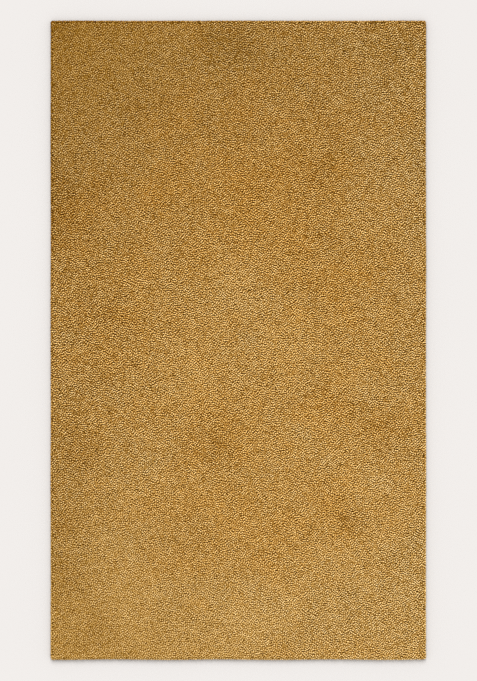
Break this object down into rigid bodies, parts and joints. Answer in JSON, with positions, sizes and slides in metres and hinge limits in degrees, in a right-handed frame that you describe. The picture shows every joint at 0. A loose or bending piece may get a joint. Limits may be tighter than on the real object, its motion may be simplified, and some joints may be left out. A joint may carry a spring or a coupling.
{
  "type": "wool rug",
  "caption": "Plain rectangular wool rug, a flat floor covering whose short, dense cut pile rounds over its four straight edges.",
  "frame": {"origin": "middle of the rug's flat underside, on the surface it lies on", "axes": "+X across the rug's width, +Y along its length (up in the picture), +Z out of the pile"},
  "size_m": [0.9, 1.532, 0.0148],
  "materials": {
    "wool_pile": "dense cut pile of mustard-ochre wool, matt, with soft lighter and darker patches where the nap lies"
  },
  "bodies": {
    "root": {"rug": "wool_pile"}
  },
  "joints": []
}
